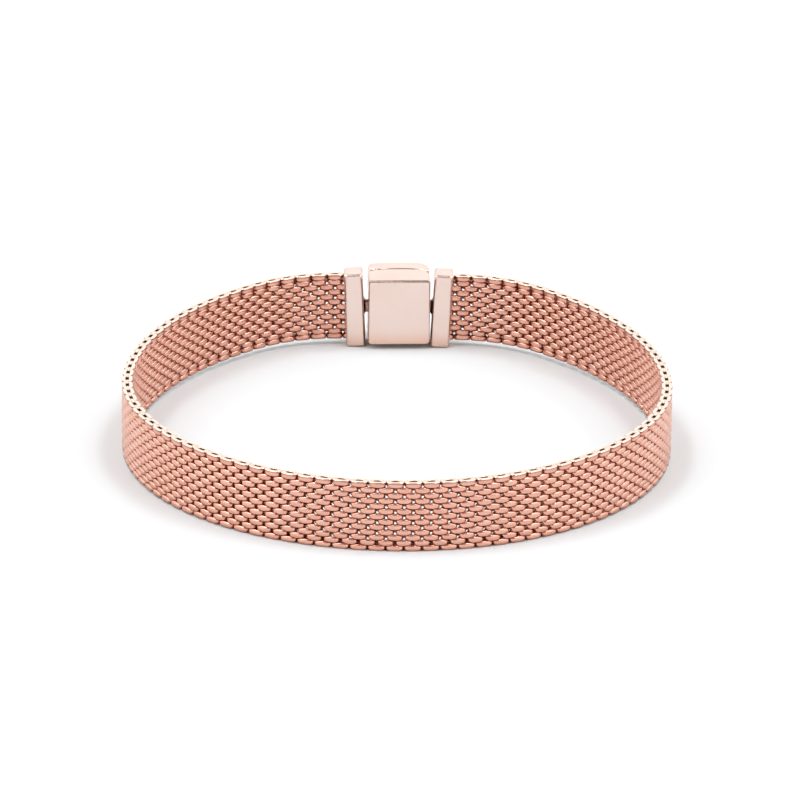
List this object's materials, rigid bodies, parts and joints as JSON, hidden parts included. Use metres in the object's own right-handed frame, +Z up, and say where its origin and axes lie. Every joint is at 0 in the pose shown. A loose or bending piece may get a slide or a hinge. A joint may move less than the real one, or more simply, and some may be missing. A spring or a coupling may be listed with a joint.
{
  "type": "mesh bracelet",
  "caption": "Rose-gold woven mesh bracelet, a closed loop that joins at a small clasp box with a hinged lid between plain end caps.",
  "frame": {"origin": "middle of the bounding box at the surface that the bracelet lies on", "axes": "+Z up, along the wearer's arm; +Y from the middle of the loop towards the clasp; +X to the right, seen from the front with the clasp at the back"},
  "size_m": [0.06, 0.0674, 0.0088],
  "materials": {
    "woven_rose_gold": "woven from plated wire, bright on the crests and dark between the wires",
    "polished_rose_gold": "polished",
    "steel": "plain drawn pin"
  },
  "bodies": {
    "bracelet": {"mesh_band": "woven_rose_gold", "end_cap_left": "polished_rose_gold", "end_cap_right": "polished_rose_gold", "clasp_base": "polished_rose_gold", "hinge_pin": "steel"},
    "lid": {"clasp_lid": "polished_rose_gold"}
  },
  "joints": [
    {"name": "lid_hinge", "type": "hinge", "parent": "bracelet", "child": "lid", "pos_m": [-0.00256, 0.03225, 0.00445], "axis": [0, -0.0106, 0.9999], "range_deg": [0, 90]}
  ]
}
